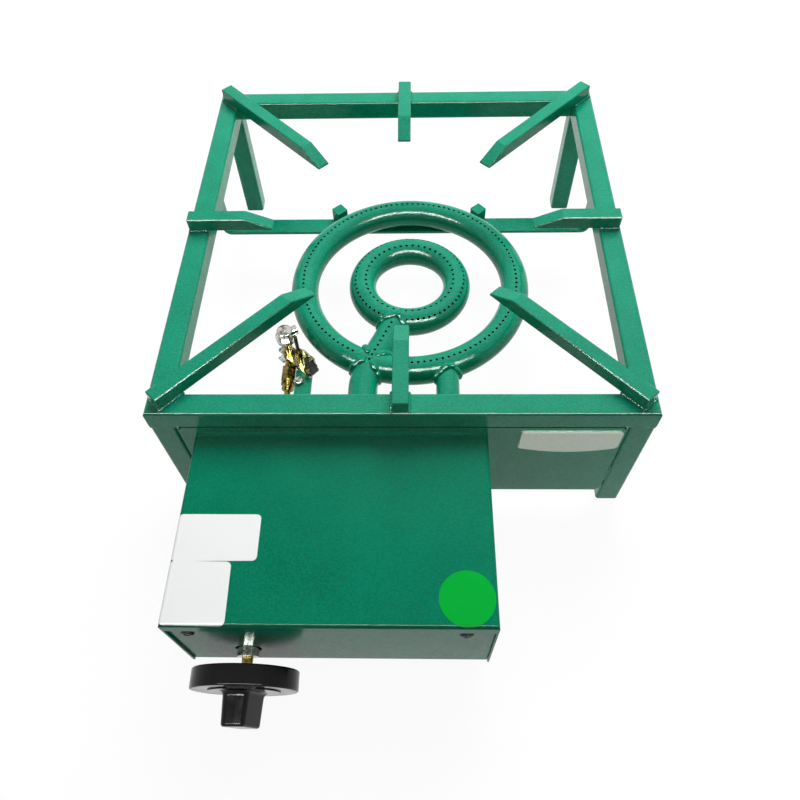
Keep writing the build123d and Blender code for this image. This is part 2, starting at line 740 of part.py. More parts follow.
holder_face = manifold_centre.Y + holder_size / 2
feed_start_y = frame_front + feed_start_depth
for name, feed_x, bore in (
    ("injector_inner", inner_feed_x, pipe_bore),
    ("injector_outer", outer_feed_x, small_pipe_bore),
):
    with BuildPart() as injector:
        with BuildSketch(Plane((feed_x, holder_face, burner_z), z_dir=(0, 1, 0))):
            RegularPolygon(injector_flats / 2, 6, major_radius=False)
        extrude(amount=injector_hex_length)
        with BuildSketch(Plane((feed_x, holder_face + injector_hex_length, burner_z), z_dir=(0, 1, 0))):
            Circle(injector_neck / 2)
        extrude(amount=feed_start_y - holder_face - injector_hex_length)
        with BuildSketch(Plane((feed_x, feed_start_y, burner_z), z_dir=(0, 1, 0))):
            Circle(bore - disc_gap)
        extrude(amount=injector_disc)
        with BuildSketch(Plane((feed_x, feed_start_y + injector_disc, burner_z), z_dir=(0, 1, 0))):
            Circle(injector_tip_size / 2)
        extrude(amount=injector_tip_length - injector_disc, taper=injector_tip_taper)
        with BuildSketch(Plane((feed_x, holder_face, burner_z), z_dir=(0, 1, 0))):
            Circle(injector_bore / 2)
        extrude(amount=feed_start_y + injector_tip_length - holder_face, mode=Mode.SUBTRACT)
    injector.part.label = name
    export_step(injector.part, f"parts/{name}.step")

# ---- Air shutters: sleeves that turn on the feed tubes over their air windows

shutter_length = window_length + 2 * shutter_margin
for ring_name, feed_x, tube_radius in (
    ("inner", inner_feed_x, pipe_radius),
    ("outer", outer_feed_x, small_pipe_radius),
):
    shutter_radius = tube_radius + running_gap + shutter_wall
    with BuildPart() as air_shutter:
        with BuildSketch(Plane((feed_x, window_y - shutter_length / 2, burner_z), z_dir=(0, 1, 0))):
            Circle(shutter_radius)
            Circle(tube_radius + running_gap, mode=Mode.SUBTRACT)
        extrude(amount=shutter_length)
        with Locations((feed_x, window_y, burner_z)):
            Box(2 * shutter_radius, window_length, 2 * tube_radius * window_share, mode=Mode.SUBTRACT)
    air_shutter.part.label = f"air_shutter_{ring_name}"
    export_step(air_shutter.part, f"parts/air_shutter_{ring_name}.step")

    with BuildPart() as shutter_screw:
        with BuildSketch(Plane((feed_x, window_y, burner_z + shutter_radius))):
            Circle(shutter_screw_size / 2)
        extrude(amount=shutter_screw_stand)
        with BuildSketch(Plane((feed_x, window_y, burner_z + shutter_radius + shutter_screw_stand))):
            Circle(shutter_screw_head / 2)
        extrude(amount=shutter_screw_thickness)
    shutter_screw.part.label = f"shutter_screw_{ring_name}"
    export_step(shutter_screw.part, f"parts/shutter_screw_{ring_name}.step")

# ---- Pilot burner on its bracket, carried by an arm from the front plate

arm_top = bracket_top - bracket_sheet
with BuildPart() as pilot_arm:
    with BuildSketch(Plane((arm_x, frame_front + plate_thickness, arm_top))):
        Rectangle(arm_width, arm_end_depth - plate_thickness, align=(Align.CENTER, Align.MIN))
    extrude(amount=-arm_thickness)
    fillet(pilot_arm.edges().filter_by(Axis.Z).group_by(Axis.Y)[-1], bracket_corner)
pilot_arm.part.label = "pilot_arm"
export_step(pilot_arm.part, "parts/pilot_arm.step")

bracket_low = bracket_plane.offset(-bracket_sheet)
with BuildPart() as pilot_bracket:
    with BuildSketch(bracket_low):
        with Locations((-bracket_end_reach, -bracket_near)):
            Rectangle(bracket_length, bracket_width, align=(Align.MIN, Align.MIN))
        fillet(vertices(), bracket_corner)
        with Locations((0, -bracket_near)):
            Rectangle(bracket_tab_length, bracket_tab_width, align=(Align.CENTER, Align.MAX))
        Circle(neck_size / 2 + neck_gap, mode=Mode.SUBTRACT)
        with Locations((couple_spacing, 0)):
            Circle(couple_body_size / 2 + neck_gap, mode=Mode.SUBTRACT)
    extrude(amount=bracket_sheet)
    with BuildSketch(bracket_plane):
        with Locations((flange_start, bracket_width - bracket_near)):
            Rectangle(flange_length, bracket_sheet, align=(Align.MIN, Align.MAX))
    extrude(amount=flange_height)
pilot_bracket.part.label = "pilot_bracket"
export_step(pilot_bracket.part, "parts/pilot_bracket.step")

outlet_turn = radians(hood_outlet_turn)
hood_outlet_plane = Plane((pilot_x, pilot_y, hood_outlet_z), z_dir=(cos(outlet_turn), sin(outlet_turn), 0))
with BuildPart() as pilot_hood:
    with BuildSketch(Plane((pilot_x, pilot_y, hood_bottom))):
        Circle(hood_size / 2)
    extrude(amount=hood_flange)
    with BuildSketch(Plane((pilot_x, pilot_y, hood_bottom + hood_flange))):
        Circle(hood_crown_size / 2)
    extrude(amount=hood_top - hood_bottom - hood_flange)
    fillet(pilot_hood.edges().filter_by(GeomType.CIRCLE).group_by(Axis.Z)[-1], hood_rounding)
    with BuildSketch(hood_outlet_plane):
        Circle(hood_outlet_size / 2)
    extrude(amount=hood_outlet_reach)
    with BuildSketch(Plane((pilot_x, pilot_y, hood_bottom + hood_wall))):
        Circle(hood_crown_size / 2 - hood_wall)
    extrude(amount=hood_top - hood_bottom - 2 * hood_wall, mode=Mode.SUBTRACT)
    with BuildSketch(hood_outlet_plane):
        Circle(hood_outlet_size / 2 - hood_wall)
    extrude(amount=hood_outlet_reach, mode=Mode.SUBTRACT)
    with BuildSketch(Plane((pilot_x, pilot_y, hood_bottom))):
        Circle(neck_size / 2 + thread_gap)
    extrude(amount=hood_wall, mode=Mode.SUBTRACT)
pilot_hood.part.label = "pilot_hood"
export_step(pilot_hood.part, "parts/pilot_hood.step")

pilot_inlet_plane = Plane((pilot_x, pilot_y, pilot_inlet_z), z_dir=(0, -1, 0))
pilot_nut_back = frame_front + pilot_nut_depth + pilot_nut_length
with BuildPart() as pilot_body:
    with BuildSketch(Plane((pilot_x, pilot_y, elbow_bottom))):
        Circle(elbow_size / 2)
    extrude(amount=bracket_top - bracket_sheet - elbow_bottom)
    with BuildSketch(Plane((pilot_x, pilot_y, elbow_bottom))):
        Circle(neck_size / 2)
    extrude(amount=hood_bottom + hood_flange - elbow_bottom)
    with BuildSketch(bracket_plane):
        Circle(collar_size / 2)
    extrude(amount=collar_height)
    with BuildSketch(pilot_inlet_plane):
        Circle(elbow_size / 2)
    extrude(amount=pilot_y - pilot_nut_back)
    with BuildSketch(Plane((pilot_x, pilot_y, hood_bottom + hood_flange))):
        Circle(injector_bore / 2)
    extrude(amount=-(hood_bottom + hood_flange - pilot_inlet_z), mode=Mode.SUBTRACT)
pilot_body.part.label = "pilot_body"
export_step(pilot_body.part, "parts/pilot_body.step")

with BuildPart() as pilot_nut:
    with BuildSketch(Plane((pilot_x, pilot_nut_back, pilot_inlet_z), z_dir=(0, -1, 0))):
        RegularPolygon(pilot_nut_flats / 2, 6, major_radius=False)
        Circle(pilot_tube_size / 2 + thread_gap, mode=Mode.SUBTRACT)
    extrude(amount=pilot_nut_length)
pilot_nut.part.label = "pilot_nut"
export_step(pilot_nut.part, "parts/pilot_nut.step")

with BuildPart() as pilot_fitting:
    with BuildSketch(Plane((pilot_x, frame_front + pilot_nut_depth, pilot_inlet_z), z_dir=(0, -1, 0))):
        Circle(fitting_flange / 2)
        Circle(pilot_tube_size / 2 + thread_gap, mode=Mode.SUBTRACT)
    extrude(amount=fitting_flange_length)
    with BuildSketch(Plane((pilot_x, frame_front + pilot_nut_depth, pilot_inlet_z), z_dir=(0, -1, 0))):
        Circle(fitting_size / 2)
        Circle(pilot_tube_size / 2 + thread_gap, mode=Mode.SUBTRACT)
    extrude(amount=fitting_length)
pilot_fitting.part.label = "pilot_fitting"
export_step(pilot_fitting.part, "parts/pilot_fitting.step")

# The pilot tube and the thermocouple lead run forward through the front plate to the
# back of the valve, where each ends square on it.
valve_back = -valve_body_back
tube_end = valve_plane.from_local_coords((pilot_x - valve_x, pilot_port_y, valve_back))
tube_last_corner = valve_plane.from_local_coords((pilot_x - valve_x, pilot_port_y, valve_back - end_run))
with BuildPart() as pilot_tube:
    with BuildLine() as route:
        FilletPolyline(
            (pilot_x, pilot_nut_back, pilot_inlet_z),
            (pilot_x, frame_front + route_turn_depth, pilot_inlet_z),
            tube_last_corner,
            tube_end,
            radius=pilot_tube_bend,
        )
    with BuildSketch(Plane((pilot_x, pilot_nut_back, pilot_inlet_z), z_dir=(0, -1, 0))):
        Circle(pilot_tube_size / 2)
    sweep(path=route.line)
pilot_tube.part.label = "pilot_tube"
export_step(pilot_tube.part, "parts/pilot_tube.step")

with BuildPart() as thermocouple:
    with BuildSketch(Plane((couple_spot.X, couple_spot.Y, couple_bottom))):
        Circle(couple_body_size / 2)
    extrude(amount=bracket_top + couple_body_height - couple_bottom)
    with BuildSketch(bracket_low.offset(-couple_nut_height)):
        with Locations((couple_spacing, 0)):
            RegularPolygon(couple_nut_size / 2, 6, major_radius=False)
    extrude(amount=couple_nut_height)
    with BuildSketch(Plane((couple_spot.X, couple_spot.Y, bracket_top + couple_body_height))):
        Circle(couple_tip_size / 2)
    extrude(amount=couple_tip_height - couple_body_height)
    chamfer(thermocouple.edges().group_by(Axis.Z)[-1], couple_tip_chamfer)
thermocouple.part.label = "thermocouple"
export_step(thermocouple.part, "parts/thermocouple.step")

lead_end = valve_plane.from_local_coords((lead_port_x, lead_port_y, valve_back))
lead_last_corner = valve_plane.from_local_coords((lead_port_x, lead_port_y, valve_back - end_run))
with BuildPart() as thermocouple_lead:
    with BuildLine() as route:
        FilletPolyline(
            (couple_spot.X, couple_spot.Y, couple_bottom),
            (couple_spot.X, couple_spot.Y, lead_z),
            (couple_spot.X, frame_front + route_turn_depth, lead_z),
            lead_last_corner,
            lead_end,
            radius=lead_bend,
        )
    with BuildSketch(Plane((couple_spot.X, couple_spot.Y, couple_bottom), z_dir=(0, 0, -1))):
        Circle(lead_size / 2)
    sweep(path=route.line)
thermocouple_lead.part.label = "thermocouple_lead"
export_step(thermocouple_lead.part, "parts/thermocouple_lead.step")

with BuildPart() as pilot_clamp:
    with BuildSketch(bracket_plane):
        with Locations((clamp_along, clamp_aside)):
            Rectangle(clamp_size, clamp_size)
    extrude(amount=clamp_height)
    chamfer(pilot_clamp.edges(), clamp_chamfer)
pilot_clamp.part.label = "pilot_clamp"
export_step(pilot_clamp.part, "parts/pilot_clamp.step")

clamp_face = bracket_plane.from_local_coords((clamp_along, clamp_aside - clamp_size / 2, clamp_height / 2))
with BuildPart() as clamp_screw:
    with BuildSketch(Plane(clamp_face, z_dir=-bracket_plane.y_dir)):
        Circle(clamp_screw_head / 2)
    extrude(amount=clamp_screw_thickness)
clamp_screw.part.label = "clamp_screw"
export_step(clamp_screw.part, "parts/clamp_screw.step")

with BuildPart() as arm_screw:
    with BuildSketch(Plane((arm_screw_x, frame_front + arm_screw_depth, arm_top))):
        Circle(screw_head_size / 2)
    extrude(amount=screw_head_thickness)
    chamfer(arm_screw.edges().group_by(Axis.Z)[-1], screw_head_chamfer)
arm_screw.part.label = "arm_screw"
export_step(arm_screw.part, "parts/arm_screw.step")
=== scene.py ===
import bmesh
import bpy
import json
import random
from math import cos, hypot, pi, radians, sin
from mathutils import Matrix, Vector

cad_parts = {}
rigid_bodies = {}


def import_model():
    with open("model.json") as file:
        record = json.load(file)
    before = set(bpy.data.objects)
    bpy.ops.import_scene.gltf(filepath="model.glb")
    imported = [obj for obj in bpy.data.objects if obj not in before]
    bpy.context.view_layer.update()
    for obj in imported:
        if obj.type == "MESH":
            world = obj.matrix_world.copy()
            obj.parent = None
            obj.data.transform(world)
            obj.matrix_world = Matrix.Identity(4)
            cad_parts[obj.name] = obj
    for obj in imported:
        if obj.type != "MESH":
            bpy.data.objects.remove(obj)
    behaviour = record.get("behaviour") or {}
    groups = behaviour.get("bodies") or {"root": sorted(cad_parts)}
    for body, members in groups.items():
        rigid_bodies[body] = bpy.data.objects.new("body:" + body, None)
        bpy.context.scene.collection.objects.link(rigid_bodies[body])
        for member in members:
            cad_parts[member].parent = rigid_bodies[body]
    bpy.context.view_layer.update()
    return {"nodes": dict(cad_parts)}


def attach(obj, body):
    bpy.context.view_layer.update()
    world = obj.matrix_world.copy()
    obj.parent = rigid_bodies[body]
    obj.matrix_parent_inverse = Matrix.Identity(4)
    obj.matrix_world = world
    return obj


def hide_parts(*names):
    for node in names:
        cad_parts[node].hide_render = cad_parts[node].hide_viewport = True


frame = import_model()
nodes = frame["nodes"]

# ---- The photographer's stand: a pale table, a big soft lamp overhead, a wide lamp in front that
# only makes the glints, and the camera in front of the knob, looking down into the burner.

camera_place = Vector((0.01277, -0.38777, 0.60624))
camera_yaw = radians(-2.52)
camera_pitch = radians(-56.835)
camera_roll = radians(-2.139)
camera_lens = 31.563
floor_size = 40
floor_shade = (0.62, 0.62, 0.62, 1)
floor_roughness = 0.9
floor_glow = (0.94, 0.94, 0.94, 1)
floor_shadow = (0.08, 0.08, 0.08, 1)
lamp_place = Vector((0.25, 1.05, 1.45))
lamp_aim = Vector((0, 0.15, 0))
lamp_width = 1.3
lamp_power = 39
glint_place = Vector((-0.05, -0.85, 1.4))
glint_aim = Vector((-0.05, 0.05, 0.1))
glint_width = 2.8
glint_depth = 0.42
glint_power = 165
room_shade = (0.16, 0.165, 0.165, 1)
room_white = (1, 1, 1, 1)

level_reach = cos(camera_pitch)
look = Vector((sin(camera_yaw) * level_reach, cos(camera_yaw) * level_reach, sin(camera_pitch)))
level = Vector((cos(camera_yaw), -sin(camera_yaw), 0))
over = level.cross(look)
right = level * cos(camera_roll) + over * sin(camera_roll)
up = over * cos(camera_roll) - level * sin(camera_roll)
bpy.ops.object.camera_add()
camera = bpy.context.object
camera_turn = Matrix((right, up, -look)).transposed().to_4x4()
camera.matrix_world = Matrix.Translation(camera_place) @ camera_turn
camera.data.lens = camera_lens
bpy.context.scene.camera = camera
bpy.context.scene.view_settings.view_transform = "Standard"


def joined(tree, operation, first, second):
    """The two values added or the larger of the two, as the operation says."""
    node = tree.nodes.new("ShaderNodeMath")
    node.operation = operation
    tree.links.new(first, node.inputs[0])
    tree.links.new(second, node.inputs[1])
    return node.outputs[0]


def white_where_seen(tree, lit, seen, output):
    """Shows the seen shader to the camera, gloss and glass, and lights things with the lit one."""
    path = tree.nodes.new("ShaderNodeLightPath").outputs
    shown = joined(tree, "MAXIMUM", path["Is Camera Ray"], path["Is Glossy Ray"])
    shown = joined(tree, "MAXIMUM", shown, path["Is Transmission Ray"])
    choice = tree.nodes.new("ShaderNodeMixShader")
    tree.links.new(shown, choice.inputs[0])
    tree.links.new(lit, choice.inputs[1])
    tree.links.new(seen, choice.inputs[2])
    tree.links.new(choice.outputs[0], output.inputs[0])


bpy.ops.mesh.primitive_plane_add(size=floor_size)
floor = bpy.context.object
floor.name = "floor"
floor_paint = bpy.data.materials.new("pale_floor")
floor_paint.use_nodes = True
tree = floor_paint.node_tree
matt = tree.nodes["Principled BSDF"]
matt.inputs["Base Color"].default_value = floor_shade
matt.inputs["Roughness"].default_value = floor_roughness
glow = tree.nodes.new("ShaderNodeEmission")
glow.inputs["Color"].default_value = floor_glow
faint = tree.nodes.new("ShaderNodeBsdfDiffuse")
faint.inputs["Color"].default_value = floor_shadow
both = tree.nodes.new("ShaderNodeAddShader")
tree.links.new(faint.outputs[0], both.inputs[0])
tree.links.new(glow.outputs[0], both.inputs[1])
white_where_seen(tree, matt.outputs[0], both.outputs[0], tree.nodes["Material Output"])
floor.data.materials.append(floor_paint)


def hang_lamp(place, aim, width, depth, power):
    bpy.ops.object.light_add(type="AREA", location=place)
    lamp = bpy.context.object
    lamp.data.shape = "RECTANGLE"
    lamp.data.size = width
    lamp.data.size_y = depth
    lamp.data.energy = power
    lamp.rotation_euler = (aim - place).to_track_quat("-Z", "Y").to_euler()
    return lamp


big_lamp = hang_lamp(lamp_place, lamp_aim, lamp_width, lamp_width, lamp_power)
big_lamp.visible_glossy = False
glint_lamp = hang_lamp(glint_place, glint_aim, glint_width, glint_depth, glint_power)
glint_lamp.visible_diffuse = False

room = bpy.data.worlds.new("room")
bpy.context.scene.world = room
room.use_nodes = True
tree = room.node_tree
dim = tree.nodes["Background"]
dim.inputs["Color"].default_value = room_shade
white = tree.nodes.new("ShaderNodeBackground")
white.inputs["Color"].default_value = room_white
white_where_seen(tree, dim.outputs[0], white.outputs[0], tree.nodes["World Output"])

# ---- Frame of square steel tube: four mitred rails on four legs with closed feet, welded and
# powder coated in a glossy green with a fine pebbled grain that glints.

tube_green = (0.003, 0.360, 0.208, 1)
tube_shade = (0.001, 0.175, 0.095, 1)
coat_grain = 540
coat_clouds = 40
coat_glints = 330
coat_gloss = (0.10, 0.22)
grain_span = (0.35, 0.65)
cloud_span = (0.32, 0.68)
glint_span = (0.45, 0.62)
grain_shade = 0.46
cloud_shade = 0.24
glint_strength = 0.12
bump_depth = 0.0002
sides = ("front", "back", "left", "right")
corners = ("front_left", "front_right", "back_left", "back_right")

COLOUR, NUMBER = "NodeSocketColor", "NodeSocketFloat"
SURFACE = [("Color", COLOUR), ("Roughness", NUMBER), ("Height", NUMBER)]


def make_group(name, inputs, outputs=SURFACE):
    """An empty shader node group, its place on the piece, and its named inputs and outputs."""
    group = bpy.data.node_groups.new(name, "ShaderNodeTree")
    for label, kind, value in inputs:
        socket = group.interface.new_socket(label, in_out="INPUT", socket_type=kind)
        socket.default_value = value
    for label, kind in outputs:
        group.interface.new_socket(label, in_out="OUTPUT", socket_type=kind)
    place = group.nodes.new("ShaderNodeTexCoord").outputs["Object"]
    given = group.nodes.new("NodeGroupInput").outputs
    made = group.nodes.new("NodeGroupOutput").inputs
    return group, place, given, made


def noise(tree, place, scale, detail):
    node = tree.nodes.new("ShaderNodeTexNoise")
    node.inputs["Detail"].default_value = detail
    tree.links.new(place, node.inputs["Vector"])
    tree.links.new(scale, node.inputs["Scale"])
    return node.outputs["Fac"]


def spread(tree, value, from_low, from_high, low=0.0, high=1.0):
    """The value's span drawn out to low and high. Each end is a number or a socket."""
    node = tree.nodes.new("ShaderNodeMapRange")
    ends = {"From Min": from_low, "From Max": from_high, "To Min": low, "To Max": high}
    for label, end in ends.items():
        if isinstance(end, float):
            node.inputs[label].default_value = end
        else:
            tree.links.new(end, node.inputs[label])
    tree.links.new(value, node.inputs["Value"])
    return node.outputs["Result"]


def blended(tree, factor, first, second):
    """The colour that goes from first to second with the factor."""
    node = tree.nodes.new("ShaderNodeMix")
    node.data_type = "RGBA"
    colours = [socket for socket in node.inputs if socket.type == "RGBA"]
    tree.links.new(factor, node.inputs[0])
    tree.links.new(first, colours[0])
    tree.links.new(second, colours[1])
    return [socket for socket in node.outputs if socket.type == "RGBA"][0]


# The coat: fine flecks and broad clouds of darker paint, pebbled bumps, and spots that glint.
coat, place, given, made = make_group(
    "pebbled_coat",
    [
        ("Light", COLOUR, tube_green),
        ("Dark", COLOUR, tube_shade),
        ("Grain", NUMBER, coat_grain),
        ("Clouds", NUMBER, coat_clouds),
        ("Gloss Low", NUMBER, coat_gloss[0]),
        ("Gloss High", NUMBER, coat_gloss[1]),
        ("Glints", NUMBER, coat_glints),
    ],
    SURFACE + [("Coat", NUMBER)],
)
grain = noise(coat, place, given["Grain"], detail=2)
clouds = noise(coat, place, given["Clouds"], detail=4)
glints = noise(coat, place, given["Glints"], detail=2)
fleck = spread(coat, grain, *grain_span, 0.0, grain_shade)
drift = spread(coat, clouds, *cloud_span, 0.0, cloud_shade)
shade = joined(coat, "ADD", fleck, drift)
gloss = spread(coat, grain, *grain_span, given["Gloss Low"], given["Gloss High"])
coat.links.new(blended(coat, shade, given["Light"], given["Dark"]), made["Color"])
coat.links.new(gloss, made["Roughness"])
coat.links.new(grain, made["Height"])
coat.links.new(spread(coat, glints, *glint_span, 0.0, glint_strength), made["Coat"])


def make_finish(name, group, values, bump=0.0, **plain):
    """A material that the group colours and roughens, with the rest set on its shader."""
    finish = bpy.data.materials.new(name)
    finish.use_nodes = True
    tree = finish.node_tree
    shader = tree.nodes["Principled BSDF"]
    for label, value in plain.items():
        label = label.replace("_", " ").title().replace("Ior", "IOR")
        shader.inputs[label].default_value = value
    effect = tree.nodes.new("ShaderNodeGroup")
    effect.node_tree = group
    for label, value in values.items():
        effect.inputs[label].default_value = value
    tree.links.new(effect.outputs["Color"], shader.inputs["Base Color"])
    tree.links.new(effect.outputs["Roughness"], shader.inputs["Roughness"])
    if "Coat" in effect.outputs:
        tree.links.new(effect.outputs["Coat"], shader.inputs["Coat Weight"])
    if bump:
        lift = tree.nodes.new("ShaderNodeBump")
        lift.inputs["Strength"].default_value = bump
        lift.inputs["Distance"].default_value = bump_depth
        tree.links.new(effect.outputs["Height"], lift.inputs["Height"])
        tree.links.new(lift.outputs["Normal"], shader.inputs["Normal"])
    return finish


def wear(finish, *names):
    """Gives the pieces of these names, as they come from the frame, the finish."""
    for name in names:
        for material_slot in nodes[name].material_slots:
            material_slot.material = finish


tube_paint = make_finish(
    "tube_paint",
    coat,
    {},
    bump=0.6,
    specular_ior_level=0.18,
    coat_roughness=0.07,
)
wear(tube_paint, *["rail_" + side for side in sides])
wear(tube_paint, *["leg_" + corner for corner in corners])
wear(tube_paint, *["foot_cap_" + corner for corner in corners])

# ---- Pot rests: eight square bars on the rails, four along the diagonals and four at the middles
# of the sides. Each is welded by a rough bead along both its sides, under the same paint.

rest_width = 0.013
frame_middle = Vector((0, 0.104238, 0.150))
straight_width_reach = 0.1985
straight_depth_reach = 0.206
diagonal_reach = 0.27649
diagonal_turn = 46.05
rest_bead_radius = 0.0017
rest_bead_pitch = 0.0012
rest_bead_out = 0.0004
rest_bead_inset = 0.001
straight_bead_length = 0.0165
diagonal_bead_length = 0.0215
bead_voxel = 0.0005
bead_rounds = 2
bead_jitter = 0.18
smallest_drop = 0.82
largest_drop = 1.2
smoothing = 0.5
bead_seed = 7
upward = Vector((0, 0, 1))

random.seed(bead_seed)


def choose(piece):
    bpy.ops.object.select_all(action="DESELECT")
    piece.select_set(True)
    bpy.context.view_layer.objects.active = piece


def open_mesh(piece):
    choose(piece)
    bpy.ops.object.mode_set(mode="EDIT")


def settle(name, finish):
    """Names the new primitive, puts its place into its mesh and opens it for shaping."""
    piece = bpy.context.object
    piece.name = name
    bpy.ops.object.transform_apply(location=True, rotation=True, scale=True)
    piece.data.materials.append(finish)
    open_mesh(piece)
    bpy.ops.mesh.select_all(action="SELECT")
    return piece


def pick(kind, test):
    """Selects the open mesh's points or edges whose middle passes the test."""
    bpy.ops.mesh.select_mode(type=kind)
    bpy.ops.mesh.select_all(action="DESELECT")
    mesh = bmesh.from_edit_mesh(bpy.context.edit_object.data)
    if kind == "VERT":
        found = [point for point in mesh.verts if test(point.co)]
    else:
        found = [edge for edge in mesh.edges if test((edge.verts[0].co + edge.verts[1].co) / 2)]
    for part in found:
        part.select_set(True)
    mesh.select_flush_mode()
    bmesh.update_edit_mesh(bpy.context.edit_object.data)


def finish_mesh(piece, body, smooth=35):
    """Closes the mesh and sends the piece to ride on its body."""
    bpy.ops.object.mode_set(mode="OBJECT")
    bpy.ops.object.shade_smooth_by_angle(angle=radians(smooth))
    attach(piece, body)


def apply_modifier(piece, kind, **settings):
    modifier = piece.modifiers.new(kind.lower(), kind)
    for label, value in settings.items():
        setattr(modifier, label, value)
    bpy.ops.object.modifier_apply(modifier=modifier.name)


def lay_bead(name, places, radius, voxel=bead_voxel, rounds=bead_rounds):
    """Weld drops laid one over the next at the places, run together into one rough string."""
    jitter = radius * bead_jitter
    shifts = [Vector([random.uniform(-jitter, jitter) for axis in range(3)]) for place in places]
    drops = [place + shift for place, shift in zip(places, shifts)]
    bpy.ops.mesh.primitive_ico_sphere_add(subdivisions=1, radius=radius, location=drops[0])
    bead = settle(name, tube_paint)
    size = 1.0
    for before, after in zip(drops, drops[1:]):
        bpy.ops.mesh.duplicate_move(TRANSFORM_OT_translate={"value": after - before})
        fresh = random.uniform(smallest_drop, largest_drop)
        bpy.ops.transform.resize(value=(fresh / size,) * 3, center_override=after)
        size = fresh
    bpy.ops.object.mode_set(mode="OBJECT")
    apply_modifier(bead, "REMESH", mode="VOXEL", voxel_size=voxel)
    apply_modifier(bead, "SMOOTH", factor=smoothing, iterations=rounds)
    finish_mesh(bead, "stove", smooth=180)


def along(first, last, pitch):
    """Places from first to last, a pitch apart."""
    count = max(2, round((last - first).length / pitch))
    return [first.lerp(last, number / (count - 1)) for number in range(count)]


rest_seats = {
    "right": (0, straight_width_reach, straight_bead_length),
    "back_right": (diagonal_turn, diagonal_reach, diagonal_bead_length),
    "back": (90, straight_depth_reach, straight_bead_length),
    "back_left": (180 - diagonal_turn, diagonal_reach, diagonal_bead_length),
    "left": (180, straight_width_reach, straight_bead_length),
    "front_left": (180 + diagonal_turn, diagonal_reach, diagonal_bead_length),
    "front": (270, straight_depth_reach, straight_bead_length),
    "front_right": (360 - diagonal_turn, diagonal_reach, diagonal_bead_length),
}
for where, (turn, reach, length) in rest_seats.items():
    away = Vector((cos(radians(turn)), sin(radians(turn)), 0))
    beside = Vector((-away.y, away.x, 0)) * (rest_width / 2 + rest_bead_out)
    end = frame_middle + away * (reach - rest_bead_inset) + upward * rest_bead_out
    bead_places = along(end + beside, end + beside - away * length, rest_bead_pitch)
    bead_places += along(end - beside - away * length, end - beside, rest_bead_pitch)
    if length == diagonal_bead_length:
        out = away * rest_bead_inset
        bead_places += along(end - beside + out, end + beside + out, rest_bead_pitch)
    lay_bead("weld_rest_" + where, bead_places, rest_bead_radius)
wear(tube_paint, *["pot_rest_" + where for where in rest_seats])

# ---- Welds between the legs and the rails, ground flush with the tube so that the paint runs over
# them without a line.

tube_size = 0.020
frame_half_width = 0.200
frame_front = -0.103262
frame_back = 0.311738
weld_low = 0.1293
weld_high = 0.1330
weld_inset = 0.00003
weld_bevel = 0.0006

for corner in corners:
    weld_x = frame_half_width - tube_size / 2
    if "left" in corner:
        weld_x = -weld_x
    weld_y = frame_back - tube_size / 2
    if "front" in corner:
        weld_y = frame_front + tube_size / 2
    weld_place = (weld_x, weld_y, (weld_low + weld_high) / 2)
    bpy.ops.mesh.primitive_cube_add(size=1, location=weld_place)
    flush = bpy.context.object
    flush.scale = (tube_size - weld_inset * 2, tube_size - weld_inset * 2, weld_high - weld_low)
    settle("weld_leg_" + corner, tube_paint)
    bpy.ops.mesh.bevel(offset=weld_bevel, segments=2, affect="EDGES")
    finish_mesh(flush, "stove")

# ---- Strap under the burner, bent up to the side rails, with two square stops welded to its back
# edge. It carries the outer ring.

wear(tube_paint, "burner_crossbar", "burner_stop_left", "burner_stop_right")

# ---- Double ring burner: two rings of bent pipe and their feed tubes, welded and painted, with
# rows of gas ports drilled through the wall.

burner_centre = Vector((0.0055, 0.096738, 0.0755))
pipe_radius = 0.01345
port_radius = 0.00125
drill_length = 0.005
drill_sides = 12
outer_ring_radius = 0.1056
inner_ring_radius = 0.0473
outer_ports = 116
outward_ports = 60
inward_ports = 44
outward_tilt = radians(30)
inward_tilt = radians(-16)
crossing = burner_centre + Vector((-0.0354, -0.0995, 0))
crossing_gap = 0.0160
feed_port_first = Vector((-0.0309, -0.0050, 0.0755))
feed_port_last = Vector((-0.0113, 0.0381, 0.0755))
feed_ports = 9
feed_voxel = 0.0010
feed_rounds = 3
merge_distance = 0.000001
# Near-black paint for the walls of the gas ports: painted shade for the dark inside the pipe.
port_shade_black = (0.001, 0.001, 0.001, 1)
port_shade_green = (0.004, 0.007, 0.006, 1)

# The drills' paint is painted shade, which the boolean passes on to the walls of each port.
port_shade = make_finish(
    "painted_port_shade",
    coat,
    {"Light": port_shade_green, "Dark": port_shade_black, "Gloss Low": 0.8, "Gloss High": 1.0},
    specular_ior_level=0.05,
)


def start_drill(name, place, out):
    """A short rod through the pipe's wall at the place on its skin, pointing out of it."""
    bpy.ops.mesh.primitive_cylinder_add(
        vertices=drill_sides,
        radius=port_radius,
        depth=drill_length,
        location=place,
        rotation=out.to_track_quat("Z", "Y").to_euler(),
    )
    # The rod gets the near-black painted shade for the inside of the port.
    return settle(name, port_shade)


def ring_drill(name, ring_radius, count, tilt):
    """A rod on the ring, tilted outward from its top, and its copies all round."""
    turn = pi / count
    away = Vector((cos(turn), sin(turn), 0))
    out = away * sin(tilt) + upward * cos(tilt)
    drill = start_drill(name, burner_centre + away * ring_radius + out * pipe_radius, out)
    bpy.ops.mesh.spin(
        steps=count - 1,
        dupli=True,
        angle=2 * pi * (count - 1) / count,
        center=burner_centre,
        axis=upward,
    )
    return drill


def copy_node(name, node):
    """A copy of the piece from the frame, with the points that its faces share merged."""
    piece = bpy.data.objects.new(name, nodes[node].data.copy())
    bpy.context.scene.collection.objects.link(piece)
    open_mesh(piece)
    bpy.ops.mesh.select_all(action="SELECT")
    bpy.ops.mesh.remove_doubles(threshold=merge_distance)
    bpy.ops.object.mode_set(mode="OBJECT")
    return piece


